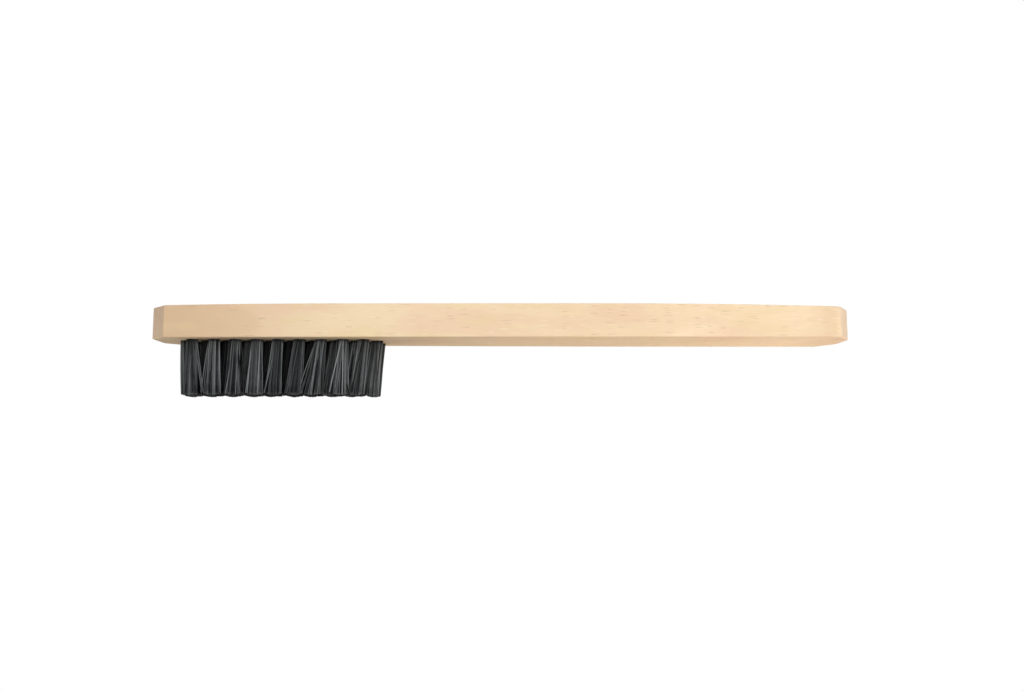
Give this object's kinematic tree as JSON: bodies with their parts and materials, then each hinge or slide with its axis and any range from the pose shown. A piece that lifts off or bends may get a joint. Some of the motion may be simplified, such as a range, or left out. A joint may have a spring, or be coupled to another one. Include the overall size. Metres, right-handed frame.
{
  "type": "hand brush",
  "caption": "Straight wooden hand brush with staggered rows of stiff charcoal filament tufts at one end and a plain grip at the other.",
  "frame": {"origin": "under the centre of the block, in the plane of the trimmed filament tips", "axes": "+X from the tufted head to the grip, +Y from the front row of tufts to the back row, +Z from the tips to the back of the block"},
  "size_m": [0.225, 0.0277, 0.0287],
  "materials": {
    "beech": "fine sanded, unvarnished",
    "filament": "satin charcoal",
    "anchor_wire": "flat drawn wire"
  },
  "bodies": {
    "root": {"handle_block": "beech", "tuft_front_row_1": "filament", "tuft_front_row_2": "filament", "tuft_front_row_3": "filament", "tuft_front_row_4": "filament", "tuft_front_row_5": "filament", "tuft_front_row_6": "filament", "tuft_front_row_7": "filament", "tuft_front_row_8": "filament", "tuft_front_row_9": "filament", "anchors_front_row": "anchor_wire", "tuft_second_row_1": "filament", "tuft_second_row_2": "filament", "tuft_second_row_3": "filament", "tuft_second_row_4": "filament", "tuft_second_row_5": "filament", "tuft_second_row_6": "filament", "tuft_second_row_7": "filament", "tuft_second_row_8": "filament", "tuft_second_row_9": "filament", "tuft_second_row_10": "filament", "anchors_second_row": "anchor_wire", "tuft_third_row_1": "filament", "tuft_third_row_2": "filament", "tuft_third_row_3": "filament", "tuft_third_row_4": "filament", "tuft_third_row_5": "filament", "tuft_third_row_6": "filament", "tuft_third_row_7": "filament", "tuft_third_row_8": "filament", "tuft_third_row_9": "filament", "anchors_third_row": "anchor_wire", "tuft_back_row_1": "filament", "tuft_back_row_2": "filament", "tuft_back_row_3": "filament", "tuft_back_row_4": "filament", "tuft_back_row_5": "filament", "tuft_back_row_6": "filament", "tuft_back_row_7": "filament", "tuft_back_row_8": "filament", "tuft_back_row_9": "filament", "tuft_back_row_10": "filament", "anchors_back_row": "anchor_wire"}
  },
  "joints": []
}
